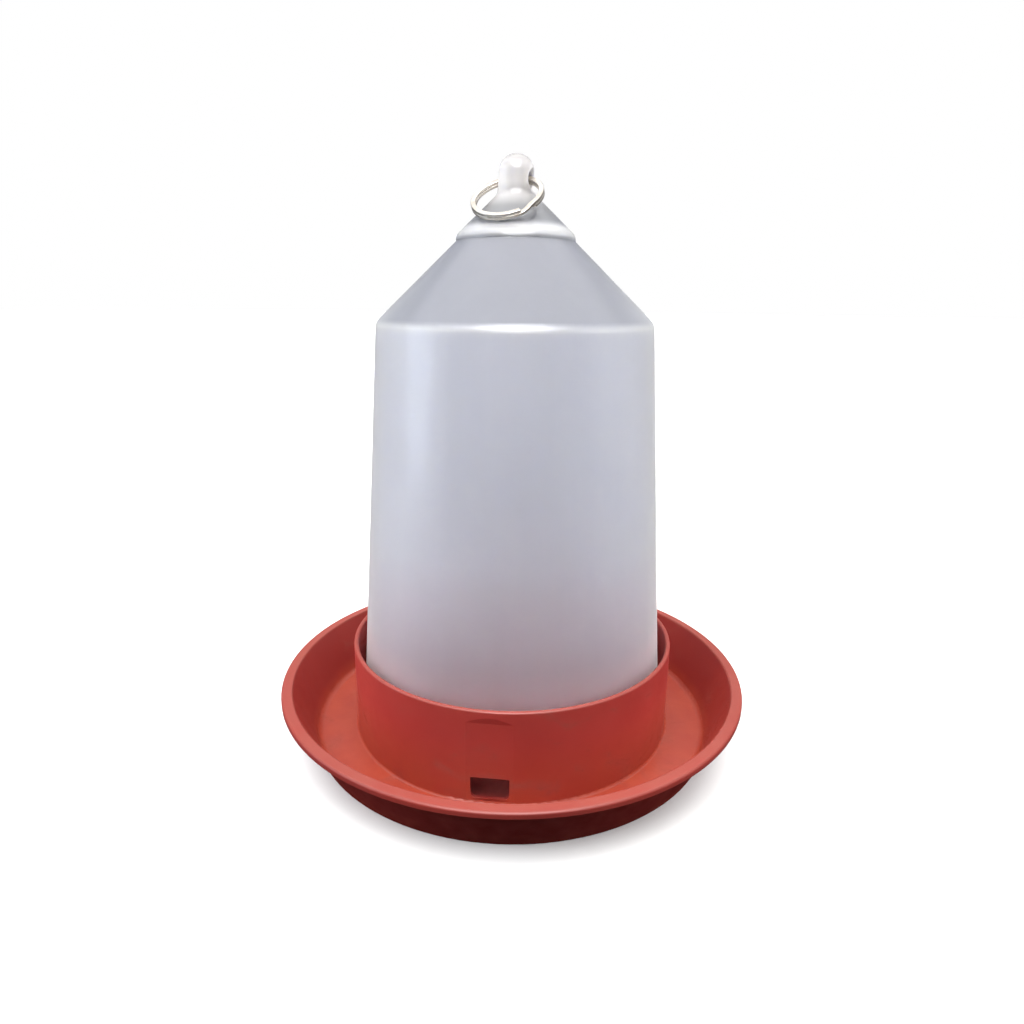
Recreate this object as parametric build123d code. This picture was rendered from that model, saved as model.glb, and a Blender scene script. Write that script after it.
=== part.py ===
from build123d import *

# Poultry waterer fount, 3 litre: a translucent reservoir jar stands mouth down in a red drinking tray,
# and the whole drinker can hang by a steel split ring through the knob on top.
#
# Millimetres, +Z up. The origin is the centre of the tray's underside, which is the face it stands on.
# The knob's cross hole runs along X, and the split ring lies forward on the jar's cone, towards -Y.
# Nodes: drinking_trough and jar_collar, which are one red moulding parted just above the collar's root,
# reservoir_jar, which is the translucent moulding, and split_ring.

import os
from math import cos, radians, sin

# Drinking trough
rim_radius = 117.0
rim_inner_radius = 111.7
rim_height = 28.1
rim_thickness = 2.1
rim_lip_depth = 3.4
rim_lip_thickness = 1.7
trough_wall = 2.5
floor_underside = 0.7
floor_top = 2.5
floor_outer_radius = 99.6
floor_edge_fillet = 3.5
foot_ring_width = 2.4
foot_round = 0.8

# Collar that holds the jar
collar_radius = 80.7
collar_inner_radius = 78.5
collar_height = 48.1
collar_lip_round = 0.95
collar_root_fillet = 1.2
collar_foot = 4.0

# Water windows through the collar, with a flat witness panel above each
window_azimuths = (13.5, 193.5)
window_width = 17.1
window_sill = 5.2
window_top = 15.4
window_corner = 2.4
panel_width = 20.4
panel_top = 45.0
panel_fade = 3.0

# Bayonet and jar rests inside the collar
mouth_height = 17.0
rest_gap = 0.1
rest_count = 6
rest_first_azimuth = 43.5
rest_inner_radius = 69.5
rest_thickness = 2.0
lug_count = 3
lug_first_azimuth = 73.5
lug_arc = 24.0
lug_radius = 78.0
lug_height = 4.4
hook_offset = 42.0
hook_arc = 28.0
hook_radius = 77.1
hook_underside = 22.0
hook_height = 1.8
stop_arc = 2.4

# Reservoir jar
jar_wall = 1.8
mouth_radius = 76.6
shoulder_radius = 63.5
shoulder_height = 202.9
shoulder_fillet = 6.0
step_radius = 26.8
step_height = 237.7
step_rise = 2.5
step_round = 4.2
knob_foot_radius = 8.4
knob_foot_height = 257.4
knob_radius = 7.4
knob_top = 273.8
crown_inside_height = 253.0
crown_inside_radius = 8.0

# Cross hole and split ring
hole_height = 263.0
hole_radius = 3.6
hole_lead_in = 1.1
ring_radius = 16.0
ring_wire_width = 2.2
ring_wire_thickness = 1.3
ring_coil_pitch = 1.38
ring_wire_round = 0.3
ring_seat = 13.7
ring_droop = 36.0
split_azimuth = -38.0
split_half_arc = 13.0
split_end_gap = 1.0


def revolved(corners, arc=360.0):
    """A solid turned about Z from a closed outline of (radius, height, rounding) corners."""
    points = [(r, 0, z) for r, z, _ in corners]
    outline = FilletPolyline(*points, radius=[c for _, _, c in corners], close=True)
    return revolve(make_face(outline), Axis.Z, arc)


def turned(shape, azimuth):
    """The shape turned about Z from the +X side to an azimuth, where 0 is the -Y side and 90 is +X."""
    return Rot(0, 0, azimuth - 90) * shape


def sector(corners, arc, azimuth):
    """A stretch of a turned solid that is arc degrees wide, centred on an azimuth."""
    return turned(Rot(0, 0, -arc / 2) * revolved(corners, arc), azimuth)


def trough_shell():
    """The floor on its foot rings, the flared wall with its rolled rim, and the collar's root."""
    slope = (rim_inner_radius - floor_outer_radius) / (rim_height - floor_top)
    across = trough_wall * (1 + slope**2) ** 0.5

    def wall_outside(z):
        return floor_outer_radius + slope * (z - floor_top) + across

    rim_underside = rim_height - rim_thickness
    lip_in = rim_radius - rim_lip_thickness
    foot_out = wall_outside(0)
    foot_in = foot_out - foot_ring_width
    collar_mid = (collar_radius + collar_inner_radius) / 2
    ring_in = collar_mid - foot_ring_width / 2
    ring_out = collar_mid + foot_ring_width / 2
    underside = [
        (0, floor_underside, 0),
        (ring_in - 0.4, floor_underside, 0.2),
        (ring_in, 0, 0.2),
        (ring_out, 0, 0.2),
        (ring_out + 0.4, floor_underside, 0.2),
        (foot_in - 0.4, floor_underside, 0.2),
        (foot_in, 0, 0.2),
    ]
    outside = [
        (foot_out, 0, foot_round),
        (wall_outside(rim_underside), rim_underside, 0.8),
        (lip_in, rim_underside, 0.5),
        (lip_in, rim_height - rim_lip_depth, 0.6),
        (rim_radius, rim_height - rim_lip_depth, 0.6),
        (rim_radius, rim_height - 0.2, 1.3),
    ]
    inside = [
        (rim_inner_radius, rim_height, 0.9),
        (floor_outer_radius, floor_top, floor_edge_fillet),
        (collar_radius, floor_top, collar_root_fillet),
        (collar_radius, collar_foot, 0),
        (collar_inner_radius, collar_foot, 0),
        (collar_inner_radius, floor_top, collar_root_fillet),
        (0, floor_top, 0),
    ]
    return revolved(underside + outside + inside)


def collar_ring():
    """The plain ring that stands on the collar's root."""
    corners = [
        (collar_inner_radius, collar_foot, 0),
        (collar_radius, collar_foot, 0),
        (collar_radius, collar_height, collar_lip_round),
        (collar_inner_radius, collar_height, collar_lip_round),
    ]
    return revolved(corners)


def window_cut(azimuth):
    """The water window through the collar, and the shallow flat panel it sits in.

    The panel's top slopes gently out to the round wall.
    """
    height = window_top - window_sill
    opening = Rectangle(window_width, height)
    opening = fillet(opening.vertices().group_by(Axis.Y)[0], window_corner)
    opening = fillet(opening.vertices().group_by(Axis.Y)[-1], 0.6)
    face_on = Plane.YZ.offset(collar_radius) * Pos(0, window_sill + height / 2)
    through = extrude(face_on * opening, 4, both=True)
    chord = (collar_radius**2 - (panel_width / 2) ** 2) ** 0.5
    outside = 2 * collar_radius - chord
    corners = [
        (chord, 0, collar_foot),
        (outside, 0, collar_foot),
        (outside, 0, panel_top + panel_fade),
        (chord, 0, panel_top - panel_fade),
    ]
    panel = extrude(make_face(Polyline(*corners, close=True)), panel_width / 2, both=True)
    return turned(through + panel, azimuth)


def jar_rest(azimuth):
    """A radial rib on the floor, against the collar's inside, that the jar's mouth stands on."""
    top = mouth_height - rest_gap
    foot = floor_top - 0.3
    wall = collar_inner_radius + 0.6
    corners = [
        (rest_inner_radius, 0, foot),
        (wall, 0, foot),
        (wall, 0, top),
        (rest_inner_radius + 3.6, 0, top),
        (rest_inner_radius, 0, top - 7),
    ]
    rib = extrude(make_face(Polyline(*corners, close=True)), rest_thickness / 2, both=True)
    return turned(rib, azimuth)


def bayonet_hook(azimuth):
    """A ledge inside the collar that a lug turns under, with the stop at its far end."""
    wall = collar_inner_radius + 0.5
    ledge = [
        (hook_radius, hook_underside, 0.2),
        (wall, hook_underside, 0),
        (wall, hook_underside + hook_height + 2.0, 0),
        (hook_radius, hook_underside + hook_height, 0.3),
    ]
    stop = [
        (hook_radius, mouth_height + 0.6, 0.2),
        (wall, mouth_height + 0.6, 0),
        (wall, hook_underside + 0.5, 0),
        (hook_radius, hook_underside + 0.5, 0),
    ]
    stop_azimuth = azimuth + (hook_arc - stop_arc) / 2
    return sector(ledge, hook_arc, azimuth) + sector(stop, stop_arc, stop_azimuth)


def drinking_trough():
    """The red moulding's trough, with the ribs cut to the collar's inside."""
    trough = trough_shell()
    for i in range(rest_count):
        trough += jar_rest(rest_first_azimuth + i * 360 / rest_count)
    return trough - collar_ring()


def jar_collar():
    """The red moulding's collar, with its windows and bayonet hooks."""
    collar = collar_ring()
    for i in range(lug_count):
        collar += bayonet_hook(lug_first_azimuth + hook_offset + i * 360 / lug_count)
    for azimuth in window_azimuths:
        collar -= window_cut(azimuth)
    return collar


def jar_shell():
    """The jar's tapered wall, its cone, the proud crown and the solid knob."""
    draft = (mouth_radius - shoulder_radius) / (shoulder_height - mouth_height)
    cone = (shoulder_radius - step_radius) / (step_height - shoulder_height)
    wall_in = jar_wall * (1 + draft**2) ** 0.5
    cone_in = jar_wall * (1 + cone**2) ** 0.5
    corner_z = shoulder_height - (cone_in - wall_in) / (cone - draft)
    corner_r = shoulder_radius - wall_in - draft * (corner_z - shoulder_height)
    outside = [
        (mouth_radius, mouth_height, 0.6),
        (shoulder_radius, shoulder_height, shoulder_fillet),
        (step_radius, step_height, 0.6),
        (step_radius, step_height + step_rise, step_round),
        (knob_foot_radius, knob_foot_height, 4.5),
        (knob_radius, knob_top, knob_radius - 0.3),
        (0, knob_top, 0),
    ]
    inside = [
        (0, crown_inside_height, 0),
        (crown_inside_radius, crown_inside_height, 3.0),
        (corner_r, corner_z, shoulder_fillet - 1.0),
        (mouth_radius - wall_in, mouth_height, 0.6),
    ]
    return revolved(outside + inside)


def bayonet_lug(azimuth):
    """A lug on the jar's mouth that turns under a hook in the collar."""
    foot = mouth_height + 0.2
    corners = [
        (mouth_radius - 0.9, foot, 0),
        (lug_radius, foot, 0.5),
        (lug_radius, foot + lug_height - 0.6, 0.5),
        (mouth_radius - 0.9, foot + lug_height, 0),
    ]
    return sector(corners, lug_arc, azimuth)


def cross_hole():
    """The knob's hole along X, widened at both mouths."""
    bore = Rot(0, 90, 0) * Cylinder(hole_radius, 4 * knob_radius)
    mouth = Cone(hole_radius, hole_radius + 3 * hole_lead_in, 3 * hole_lead_in)
    reach = knob_radius - hole_lead_in + 1.5 * hole_lead_in
    right = Pos(reach, 0, 0) * Rot(0, 90, 0) * mouth
    left = Pos(-reach, 0, 0) * Rot(0, -90, 0) * mouth
    return Pos(0, 0, hole_height) * (bore + right + left)


def reservoir_jar():
    """The whole translucent moulding."""
    jar = jar_shell()
    for i in range(lug_count):
        jar += bayonet_lug(lug_first_azimuth + i * 360 / lug_count)
    return jar - cross_hole()


def ring_section(angle, rise):
    """The wire's rounded rectangle, set across the ring at an angle and a height."""
    mean = ring_radius - ring_wire_width / 2
    place = Pos(mean * cos(radians(angle)), mean * sin(radians(angle)), rise)
    outline = RectangleRounded(ring_wire_width, ring_wire_thickness, ring_wire_round)
    return place * Rot(0, 0, angle) * Rot(90, 0, 0) * outline


def split_ring():
    """Two turns of flat wire side by side, joined where the wire crosses from one to the other."""
    half = ring_coil_pitch / 2
    end_angle = split_half_arc + split_end_gap
    turn = 360 - split_half_arc - end_angle
    lower = revolve(ring_section(split_azimuth + end_angle, -half), Axis.Z, turn)
    upper = revolve(ring_section(split_azimuth + split_half_arc, half), Axis.Z, turn)
    steps = 8
    sections = []
    for i in range(steps + 1):
        share = i / steps
        angle = split_azimuth + split_half_arc * (2 * share - 1)
        sections.append(ring_section(angle, half * (2 * share**2 * (3 - 2 * share) - 1)))
    ring = lower + loft(sections) + upper
    droop = radians(ring_droop)
    centre = Pos(0, -ring_seat * cos(droop), hole_height - ring_seat * sin(droop))
    return centre * Rot(ring_droop, 0, 0) * ring


os.makedirs("parts", exist_ok=True)
export_step(drinking_trough(), "parts/drinking_trough.step")
export_step(jar_collar(), "parts/jar_collar.step")
export_step(reservoir_jar(), "parts/reservoir_jar.step")
export_step(split_ring(), "parts/split_ring.step")
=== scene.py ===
"""Looks for the poultry waterer: materials, floor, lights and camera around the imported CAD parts."""
from math import cos, radians, sin

import bpy
from mathutils import Matrix, Vector


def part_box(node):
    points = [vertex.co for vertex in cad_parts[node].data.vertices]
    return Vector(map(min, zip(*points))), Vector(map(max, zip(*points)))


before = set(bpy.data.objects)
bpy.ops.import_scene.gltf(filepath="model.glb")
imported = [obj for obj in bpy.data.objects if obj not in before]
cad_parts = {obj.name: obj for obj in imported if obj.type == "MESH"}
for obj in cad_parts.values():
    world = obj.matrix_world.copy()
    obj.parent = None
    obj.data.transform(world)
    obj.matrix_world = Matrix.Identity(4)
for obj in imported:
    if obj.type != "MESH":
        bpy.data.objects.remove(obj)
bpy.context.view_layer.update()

# Camera, in metres and degrees. Azimuth 0 looks along +Y, and 90 stands on +X.
CAMERA_AZIMUTH = 20.0
CAMERA_DISTANCE = 0.3468
CAMERA_HEIGHT = 0.2132
CAMERA_PITCH = -16.34
CAMERA_YAW = 0.105
CAMERA_ROLL = 0.52
CAMERA_LENS = 25.54
CAMERA_SENSOR = 36.0
CAMERA_NEAR = 0.01

# Colours of the lights
WHITE = (1.0, 1.0, 1.0)
COOL = (0.90, 0.95, 1.0)
WARM = (1.0, 0.975, 0.94)
PANEL_BLUE = (0.72, 0.84, 1.0)

# Soft lights far away: azimuth from the camera's, elevation, angle across (degrees), strength, colour.
# They light the object and shine through the jar, and leave no patches of gloss on it.
SOFT_LIGHTS = {
    "overhead": (0, 86, 70, 3.2, WARM),
    "left_high": (-75, 48, 60, 2.6, WHITE),
    "right_high": (70, 48, 60, 1.6, WHITE),
    "left_low": (-82, 6, 40, 1.35, COOL),
    "right_low": (82, 6, 40, 1.7, COOL),
    "back_right": (135, 30, 60, 1.9, WHITE),
    "back_left": (-135, 30, 60, 0.9, COOL),
    "behind": (180, 15, 60, 1.3, COOL),
}
# These only show as gloss, on the shoulder, the step, the rims and the ring.
GLEAMS = {
    "front_gleam": (0, 46, 52, 6.5, WHITE),
    "ceiling_gleam": (0, 88, 100, 2.2, WHITE),
}
# The tall panel that leaves the upright reflection on the left of the jar.
PANEL_AZIMUTH = -77.0
PANEL_ELEVATION = 6.0
PANEL_DISTANCE = 1.0
PANEL_SIZE = (0.36, 0.9)
PANEL_POWER = 2.5

# The room as a dim light from all round, and as the brighter thing that gloss reflects.
AMBIENT = (0.04, 0.04, 0.045)
REFLECTED = (0.30, 0.31, 0.33)

# The floor's grey as it is seen, and as it sends light back up.
FLOOR_RADIUS = 12.0
FLOOR_SIDES = 128
FLOOR_SEEN = (0.9, 0.9, 0.9)
FLOOR_BOUNCE = (0.06, 0.06, 0.06)

# Heights above the ground that the materials follow, and the radius of the well, in metres.
TROUGH_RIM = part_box("drinking_trough")[1][2]
COLLAR_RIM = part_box("jar_collar")[1][2]
JAR_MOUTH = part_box("reservoir_jar")[0][2]
JAR_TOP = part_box("reservoir_jar")[1][2]
TROUGH_FLOOR = 0.0035
WINDOW_TOP = 0.0154
WELL_RADIUS = 0.0799
SHOULDER = 0.2029
CONE_STEP = 0.2377
KNOB_FOOT = 0.2574

PLASTIC_IOR = 1.49

# Red moulding: its colours, how high the chalky film and the collar's painted glow reach, how deep the
# painted highlight on the rims reaches and how dull it is. Rubs and painted shade add to the roughness.
COLLAR_REDS = ((0.330, 0.030, 0.025), (0.385, 0.040, 0.032))
TROUGH_REDS = ((0.240, 0.021, 0.016), (0.280, 0.027, 0.019))
# Chalky film on the trough's floor, and a painted glow low on the collar.
FILM_AND_GLOW_ORANGE = (0.365, 0.054, 0.025)
# A painted highlight on the rims' tops, and wear in the rubbed patches.
SCUFFED_AND_HIGHLIGHT_RED = (0.265, 0.054, 0.037)
# Painted shade: the darker red in the collar's well and on all that faces down.
PAINTED_SHADE_RED = (0.150, 0.010, 0.008)
TROUGH_FILM_HEIGHT = 0.006
# On the collar the film is a painted glow: its lower part paler and more orange.
COLLAR_GLOW_HEIGHT = 0.030
# How far below a rim's top the painted highlight reaches.
RIM_HIGHLIGHT_DEPTH = 0.0012
RED_ROUGHNESS = (0.36, 0.50)
RUBS_ROUGHER = 0.2
# Painted shade also makes those places rougher and less glossy.
SHADE_ROUGHER = 0.3
UNSHADED_SPECULAR = 0.4
SHADED_SPECULAR = 0.08
# Painted shade: how softly it ends at the well's wall and at the windows' tops, and which faces look down.
WELL_FADE = 0.0006
WINDOW_FADE = 0.0004
LOOKS_DOWN = (-0.4, -0.25)

# Textures of the red moulding; scale is patches to the metre. A bump has a depth in metres and a strength.
PIGMENT_CLOUDS = {"scale": 16, "detail": 4}
# Breaks up the chalky film and the painted glow.
CHALK_AND_GLOW = {"scale": 70, "detail": 6, "roughness": 0.65}
# Breaks up the painted highlight on the rims.
RIM_HIGHLIGHT_NOISE = {"scale": 90, "detail": 4}
RUBS = {"scale": 34, "detail": 8, "roughness": 0.62, "stretch": (1, 1, 1.6), "distortion": 1.2}
RUB_SPECKS = {"scale": 420, "detail": 3}
# Breaks up the painted shade.
SHADE_PATCHES = {"scale": 110, "detail": 5}
RED_SKIN = {"scale": 45, "detail": 6, "roughness": 0.6}
RED_WAVES = {"scale": 38, "detail": 2}
RED_WAVES_BUMP = (0.0012, 0.06)
RED_GRAIN = {"scale": 1400, "detail": 2}
RED_GRAIN_BUMP = (0.00012, 0.25)

# The jar's colours from its mouth to its top: a painted pink glow from the red collar at the mouth,
# painted shade that leaves the cone, upper cone and neck darker and greyer, painted highlights that whiten
# the shoulder and the step, a whiter knob, and painted shade on the knob's crown.
# Painted pink glow from the red collar at the mouth, fading higher up, where the lower jar is also a little
# darker.
MOUTH_GLOW_MILK = (1.000, 0.800, 0.830)
LOW_GLOW_MILK = (0.805, 0.735, 0.785)
BODY_MILK = (0.872, 0.878, 0.928)
# Painted highlight: near white on the shoulder's round and on the step's top round.
CORNER_HIGHLIGHT_MILK = (0.985, 0.985, 0.995)
# Painted shade: the cone, upper cone and neck darker and greyer than the body, the knob's crown darker than
# the knob.
CONE_SHADE_MILK = (0.355, 0.368, 0.425)
CONE_TOP_SHADE_MILK = (0.408, 0.418, 0.474)
UPPER_SHADE_MILK = (0.280, 0.286, 0.312)
NECK_SHADE_MILK = (0.290, 0.290, 0.298)
KNOB_MILK = (0.890, 0.860, 0.840)
CROWN_SHADE_MILK = (0.420, 0.405, 0.395)
JAR_COLOURS = (
    # Painted pink glow from the red collar.
    (JAR_MOUTH + 0.015, MOUTH_GLOW_MILK),
    (JAR_MOUTH + 0.045, LOW_GLOW_MILK),
    (JAR_MOUTH + 0.090, BODY_MILK),
    (SHOULDER - 0.004, BODY_MILK),
    # Painted highlight on the shoulder's round.
    (SHOULDER - 0.001, CORNER_HIGHLIGHT_MILK),
    # Painted shade on the cone.
    (SHOULDER + 0.0012, CONE_SHADE_MILK),
    (CONE_STEP - 0.0005, CONE_TOP_SHADE_MILK),
    (CONE_STEP + 0.0005, UPPER_SHADE_MILK),
    # Painted highlight on the step's top round.
    (CONE_STEP + 0.0020, CORNER_HIGHLIGHT_MILK),
    (CONE_STEP + 0.005, CORNER_HIGHLIGHT_MILK),
    (CONE_STEP + 0.0075, UPPER_SHADE_MILK),
    (KNOB_FOOT - 0.006, NECK_SHADE_MILK),
    (KNOB_FOOT + 0.004, KNOB_MILK),
    (JAR_TOP - 0.006, KNOB_MILK),
    # Painted shade on the knob's crown.
    (JAR_TOP - 0.001, CROWN_SHADE_MILK),
)
CLOUD_DARKER = (0.925, 0.925, 0.940)

# How much light passes through the jar's wall and its knob, and how much more near its mouth.
CLEAR_WALL = 0.66
CLEAR_KNOB = 0.12
CLEAR_MOUTH = 0.18
WALL_SHEEN = 0.6
JAR_ROUGHNESS = (0.35, 0.43)

# Textures of the jar
MILK_CLOUDS = {"scale": 26, "detail": 5, "roughness": 0.6, "distortion": 0.4}
FLOW_STREAKS = {"scale": 130, "detail": 3, "stretch": (1, 1, 0.06)}
JAR_SKIN = {"scale": 60, "detail": 6, "roughness": 0.6}
JAR_WAVES = {"scale": 22, "detail": 2, "stretch": (1, 1, 0.5)}
JAR_WAVES_BUMP = (0.003, 0.05)
JAR_GRAIN = {"scale": 900, "detail": 2}
JAR_GRAIN_BUMP = (0.0001, 0.2)

# Nickel plate
BRIGHT_NICKEL = (0.90, 0.87, 0.81)
DULL_NICKEL = (0.56, 0.49, 0.41)
NICKEL_PATCHES = {"scale": 120, "detail": 5, "roughness": 0.65}
NICKEL_ROUGHNESS = (0.26, 0.36)
SCRATCHES = {"scale": 2600, "detail": 3, "stretch": (0.25, 1, 1)}
SCRATCHES_ROUGHER = 0.08
SCRATCHES_BUMP = (0.00004, 0.3)


def opaque(colour):
    return (*colour, 1.0)


class NodeTree:
    """The nodes of a material or of the world, and short ways to add more."""

    def __init__(self, tree):
        self.nodes = tree.nodes
        self.links = tree.links

    def add(self, kind, settings=None, **inputs):
        """Adds a node; each input is a value or the output of another node."""
        node = self.nodes.new(kind)
        for key, value in (settings or {}).items():
            setattr(node, key, value)
        for key, value in inputs.items():
            self.feed(node.inputs[key.replace("_", " ")], value)
        return node

    def feed(self, socket, value):
        if isinstance(value, bpy.types.NodeSocket):
            self.links.new(value, socket)
        else:
            socket.default_value = value

    def blend(self, factor, first, second, mode="MIX"):
        """The first colour where factor is 0, the second where it is 1."""
        node = self.add("ShaderNodeMix", {"data_type": "RGBA", "blend_type": mode})
        self.feed(node.inputs["Factor"], factor)
        self.feed(node.inputs["A"], first)
        self.feed(node.inputs["B"], second)
        return node.outputs["Result"]

    def combine(self, operation, first, second):
        node = self.add("ShaderNodeMath", {"operation": operation})
        self.feed(node.inputs[0], first)
        self.feed(node.inputs[1], second)
        return node.outputs[0]

    def spread(self, value, low, high, start=0.3, end=0.7):
        """Maps a value between start and end to low and high."""
        node = self.add("ShaderNodeMapRange", Value=value, From_Min=start, From_Max=end,
                        To_Min=low, To_Max=high)
        return node.outputs[0]


class Shading(NodeTree):
    """A new material with one Principled shader, and the textures that drive it."""

    def __init__(self, name):
        self.material = bpy.data.materials.new(name)
        self.material.use_nodes = True
        super().__init__(self.material.node_tree)
        self.shader = self.nodes["Principled BSDF"]
        self.place = self.add("ShaderNodeTexCoord").outputs["Object"]
        split = self.add("ShaderNodeSeparateXYZ", Vector=self.place)
        self.height = split.outputs["Z"]
        flat = self.add("ShaderNodeCombineXYZ", X=split.outputs["X"], Y=split.outputs["Y"])
        radius = self.add("ShaderNodeVectorMath", {"operation": "LENGTH"})
        self.links.new(flat.outputs[0], radius.inputs[0])
        self.radius = radius.outputs["Value"]
        surface = self.add("ShaderNodeNewGeometry")
        self.upward = self.add("ShaderNodeSeparateXYZ", Vector=surface.outputs["Normal"]).outputs["Z"]

    def fix(self, **values):
        """Sets numbers and colours of the shader that are the same all over."""
        for key, value in values.items():
            self.shader.inputs[key.replace("_", " ")].default_value = value

    def drive(self, **outputs):
        """Links node outputs to the shader."""
        for key, output in outputs.items():
            self.links.new(output, self.shader.inputs[key.replace("_", " ")])

    def noise(self, scale, detail, roughness=0.5, stretch=(1, 1, 1), distortion=0.0):
        """Noise that is about 0.5 on average."""
        mapping = self.add("ShaderNodeMapping", Vector=self.place, Scale=stretch)
        node = self.add("ShaderNodeTexNoise", Vector=mapping.outputs[0], Scale=scale, Detail=detail,
                        Roughness=roughness, Distortion=distortion)
        return node.outputs["Fac"]

    def by_height(self, stops, low, high):
        """A ramp over the height from low to high; stops are (height, colour) pairs."""
        part = self.spread(self.height, 0.0, 1.0, low, high)
        node = self.add("ShaderNodeValToRGB", Fac=part)
        elements = node.color_ramp.elements
        while len(elements) < len(stops):
            elements.new(0.5)
        for element, (height, colour) in zip(elements, stops):
            element.position = (height - low) / (high - low)
            element.color = opaque(colour)
        return node.outputs["Color"]

    def bump(self, value, depth, strength, under=None):
        """A bump of this depth in metres, on top of another bump if one is given."""
        node = self.add("ShaderNodeBump", Height=value, Distance=depth, Strength=strength)
        if under:
            self.links.new(under, node.inputs["Normal"])
        return node.outputs["Normal"]


def towards(azimuth, elevation=0.0):
    """A unit vector from the object towards an azimuth and elevation."""
    a, e = radians(azimuth), radians(elevation)
    return Vector((sin(a) * cos(e), -cos(a) * cos(e), sin(e)))


def link_new(name, data):
    obj = bpy.data.objects.new(name, data)
    bpy.context.scene.collection.objects.link(obj)
    return obj


def make_camera():
    data = bpy.data.cameras.new("camera")
    data.lens = CAMERA_LENS
    data.sensor_width = CAMERA_SENSOR
    data.clip_start = CAMERA_NEAR
    camera = link_new("camera", data)
    turn = Matrix.Rotation(radians(CAMERA_AZIMUTH + CAMERA_YAW), 4, "Z")
    tilt = Matrix.Rotation(radians(90 + CAMERA_PITCH), 4, "X")
    roll = Matrix.Rotation(radians(CAMERA_ROLL), 4, "Z")
    place = towards(CAMERA_AZIMUTH) * CAMERA_DISTANCE + Vector((0, 0, CAMERA_HEIGHT))
    camera.matrix_world = Matrix.Translation(place) @ turn @ tilt @ roll
    bpy.context.scene.camera = camera


def soft_light(name, azimuth, elevation, angle, strength, colour):
    data = bpy.data.lights.new(name, "SUN")
    data.angle = radians(angle)
    data.energy = strength
    data.color = colour
    light = link_new(name, data)
    aim = -towards(CAMERA_AZIMUTH + azimuth, elevation)
    light.rotation_euler = aim.to_track_quat("-Z", "Y").to_euler()
    return light


def make_lights():
    left_panel()
    for name, settings in SOFT_LIGHTS.items():
        soft_light(name, *settings).visible_glossy = False
    for name, settings in GLEAMS.items():
        gleam = soft_light(name, *settings)
        gleam.visible_diffuse = False
        gleam.visible_transmission = False


def left_panel():
    data = bpy.data.lights.new("left_panel", "AREA")
    data.shape = "RECTANGLE"
    data.size, data.size_y = PANEL_SIZE
    data.energy = PANEL_POWER
    data.color = PANEL_BLUE
    light = link_new("left_panel", data)
    light.visible_camera = False
    middle = Vector((0, 0, JAR_TOP / 2))
    light.location = middle + towards(CAMERA_AZIMUTH + PANEL_AZIMUTH, PANEL_ELEVATION) * PANEL_DISTANCE
    light.rotation_euler = (middle - light.location).to_track_quat("-Z", "Y").to_euler()


def make_world():
    """White behind the object, dim light from all round, and a pale room for the gloss to reflect."""
    world = bpy.data.worlds.new("studio")
    bpy.context.scene.world = world
    world.use_nodes = True
    tree = NodeTree(world.node_tree)
    tree.nodes.clear()
    path = tree.add("ShaderNodeLightPath")
    room = tree.blend(path.outputs["Is Glossy Ray"], opaque(AMBIENT), opaque(REFLECTED))
    colour = tree.blend(path.outputs["Is Camera Ray"], room, opaque(WHITE))
    background = tree.add("ShaderNodeBackground", Color=colour)
    tree.add("ShaderNodeOutputWorld", Surface=background.outputs[0])


def make_floor():
    """A plain pale floor that sends little light back up, so the trough's underside stays dark."""
    bpy.ops.mesh.primitive_circle_add(vertices=FLOOR_SIDES, radius=FLOOR_RADIUS, fill_type="NGON")
    floor = bpy.context.object
    floor.name = "floor"
    look = Shading("floor_paint")
    path = look.add("ShaderNodeLightPath")
    grey = look.blend(path.outputs["Is Camera Ray"], opaque(FLOOR_BOUNCE), opaque(FLOOR_SEEN))
    look.drive(Base_Color=grey)
    look.fix(Roughness=1.0, Specular_IOR_Level=0.0)
    floor.data.materials.append(look.material)


def chalky_film_and_glow(look, film_and_glow_height):
    """How much chalky film and painted glow there is: most on the trough's floor, and none above
    film_and_glow_height.
    """
    low = look.spread(look.height, 1.0, 0.0, TROUGH_FLOOR, TROUGH_FLOOR + film_and_glow_height)
    return look.combine("MULTIPLY", low, look.spread(look.noise(**CHALK_AND_GLOW), 0.5, 1.0))


# A painted highlight: a paler red band along a rim's top, broken up by noise.
def painted_rim_highlight(look, rim):
    edge = look.spread(look.height, 0.0, 1.0, rim - RIM_HIGHLIGHT_DEPTH, rim)
    return look.combine("MULTIPLY", edge, look.spread(look.noise(**RIM_HIGHLIGHT_NOISE), 0.55, 0.85))


def rubbed_patches(look):
    patches = look.spread(look.noise(**RUBS), 0.0, 1.0, 0.58, 0.66)
    return look.combine("MULTIPLY", patches, look.spread(look.noise(**RUB_SPECKS), 0.15, 0.5))


def painted_shade_places(look):
    """How much painted shade there is: the well inside the collar, up to the windows' tops, and all that
    faces down.
    """
    inside = look.spread(look.radius, 1.0, 0.0, WELL_RADIUS, WELL_RADIUS + WELL_FADE)
    low = look.spread(look.height, 1.0, 0.0, WINDOW_TOP - WINDOW_FADE, WINDOW_TOP)
    under = look.spread(look.upward, 1.0, 0.0, *LOOKS_DOWN)
    painted_shade = look.combine("MAXIMUM", look.combine("MULTIPLY", inside, low), under)
    return look.combine("MULTIPLY", painted_shade, look.spread(look.noise(**SHADE_PATCHES), 0.75, 1.0))


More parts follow.
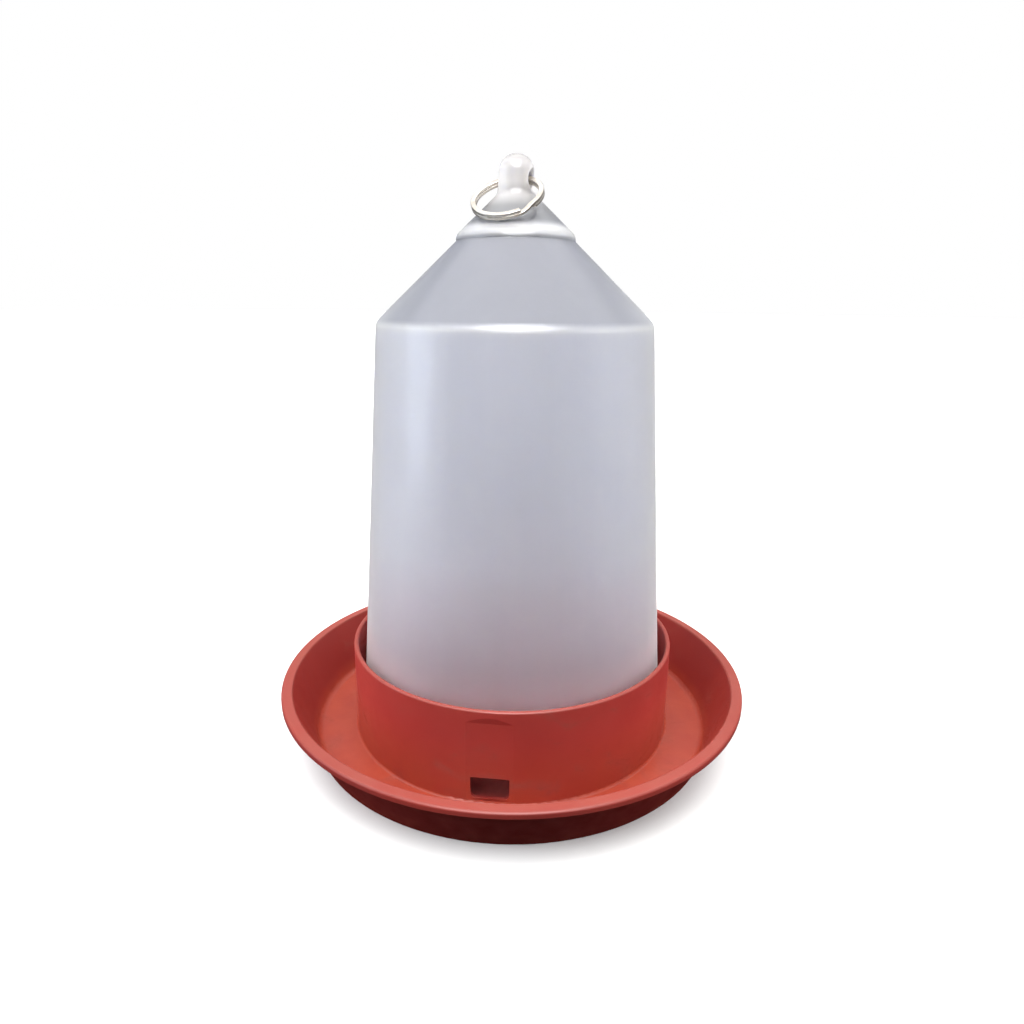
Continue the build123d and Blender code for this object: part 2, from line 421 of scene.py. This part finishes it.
def red_plastic(name, reds, film_and_glow_height, rim):
    """Red polypropylene: cloudy pigment, chalky film and painted glow low down, a painted highlight on the
    rim, rubs and painted shade.
    """
    look = Shading(name)
    clouds = look.spread(look.noise(**PIGMENT_CLOUDS), 0.0, 1.0, 0.36, 0.64)
    rubbed = rubbed_patches(look)
    painted_shade = painted_shade_places(look)
    colour = look.blend(clouds, opaque(reds[0]), opaque(reds[1]))
    # Paler orange low down: chalky film on the trough's floor and a painted glow on the collar.
    colour = look.blend(chalky_film_and_glow(look, film_and_glow_height), colour, opaque(FILM_AND_GLOW_ORANGE))
    # Painted highlight on the rims' tops.
    colour = look.blend(painted_rim_highlight(look, rim), colour, opaque(SCUFFED_AND_HIGHLIGHT_RED))
    colour = look.blend(rubbed, colour, opaque(SCUFFED_AND_HIGHLIGHT_RED))
    skin = look.spread(look.noise(**RED_SKIN), *RED_ROUGHNESS)
    skin = look.combine("ADD", skin, look.spread(rubbed, 0.0, RUBS_ROUGHER, 0.0, 0.5))
    waves = look.bump(look.noise(**RED_WAVES), *RED_WAVES_BUMP)
    look.drive(
        # Painted shade darkens the red in the well and on faces that look down.
        Base_Color=look.blend(painted_shade, colour, opaque(PAINTED_SHADE_RED)),
        Roughness=look.combine("ADD", skin, look.spread(painted_shade, 0.0, SHADE_ROUGHER, 0.0, 1.0)),
        Specular_IOR_Level=look.spread(painted_shade, UNSHADED_SPECULAR, SHADED_SPECULAR, 0.0, 1.0),
        Normal=look.bump(look.noise(**RED_GRAIN), *RED_GRAIN_BUMP, under=waves))
    look.fix(IOR=PLASTIC_IOR)
    return look.material


def milky_colour(look, clouds):
    """The colour by height, with its painted glow, highlights and shade, darkened a little in clouds and in
    upright flow streaks.
    """
    tint = look.by_height(JAR_COLOURS, JAR_MOUTH, JAR_TOP)
    streaks = look.spread(look.noise(**FLOW_STREAKS), 0.5, 1.0)
    mottle = look.combine("MULTIPLY", look.spread(clouds, 0.2, 1.0), streaks)
    shade = look.blend(mottle, opaque(CLOUD_DARKER), opaque(WHITE))
    return look.blend(1.0, tint, shade, "MULTIPLY")


def clearness(look, clouds):
    """How much light passes through: most near the mouth, least in the solid knob."""
    wall = look.spread(look.height, CLEAR_WALL, CLEAR_KNOB, CONE_STEP + 0.001, KNOB_FOOT)
    mouth = look.spread(look.height, CLEAR_MOUTH, 0.0, JAR_MOUTH + 0.010, JAR_MOUTH + 0.060)
    return look.combine("ADD", mouth, look.combine("MULTIPLY", wall, look.spread(clouds, 0.95, 1.05)))


def milky_plastic():
    """Natural polypropylene: milky, with soft clouds, faint flow streaks and a satin skin."""
    look = Shading("natural_polypropylene")
    clouds = look.noise(**MILK_CLOUDS)
    waves = look.bump(look.noise(**JAR_WAVES), *JAR_WAVES_BUMP)
    look.drive(
        Base_Color=milky_colour(look, clouds),
        Transmission_Weight=clearness(look, clouds),
        Roughness=look.spread(look.noise(**JAR_SKIN), *JAR_ROUGHNESS),
        Sheen_Weight=look.spread(look.height, WALL_SHEEN, 0.0, SHOULDER, CONE_STEP),
        Normal=look.bump(look.noise(**JAR_GRAIN), *JAR_GRAIN_BUMP, under=waves))
    look.fix(IOR=PLASTIC_IOR, Subsurface_Weight=1.0, Subsurface_Radius=(1.0, 1.0, 1.1),
             Subsurface_Scale=0.002, Coat_Weight=0.6, Coat_Roughness=0.2, Coat_IOR=1.5,
             Sheen_Roughness=0.4)
    return look.material


def nickel():
    """Bright nickel plate with fine rubbed scratches and duller, browner patches."""
    look = Shading("nickel_plate")
    patches = look.spread(look.noise(**NICKEL_PATCHES), 0.0, 1.0)
    scratches = look.noise(**SCRATCHES)
    dullness = look.spread(patches, *NICKEL_ROUGHNESS, 0.0, 1.0)
    look.drive(
        Base_Color=look.blend(patches, opaque(BRIGHT_NICKEL), opaque(DULL_NICKEL)),
        Roughness=look.combine("ADD", dullness, look.spread(scratches, 0.0, SCRATCHES_ROUGHER)),
        Normal=look.bump(scratches, *SCRATCHES_BUMP))
    look.fix(Metallic=1.0)
    return look.material


def dress(node, material):
    """Gives a CAD node its material."""
    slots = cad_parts[node].data.materials
    slots.clear()
    slots.append(material)


make_camera()
make_world()
make_floor()
make_lights()
dress("drinking_trough", red_plastic("red_polypropylene_trough", TROUGH_REDS, TROUGH_FILM_HEIGHT, TROUGH_RIM))
dress("jar_collar", red_plastic("red_polypropylene_collar", COLLAR_REDS, COLLAR_GLOW_HEIGHT, COLLAR_RIM))
dress("reservoir_jar", milky_plastic())
dress("split_ring", nickel())
bpy.context.scene.view_settings.view_transform = "Standard"
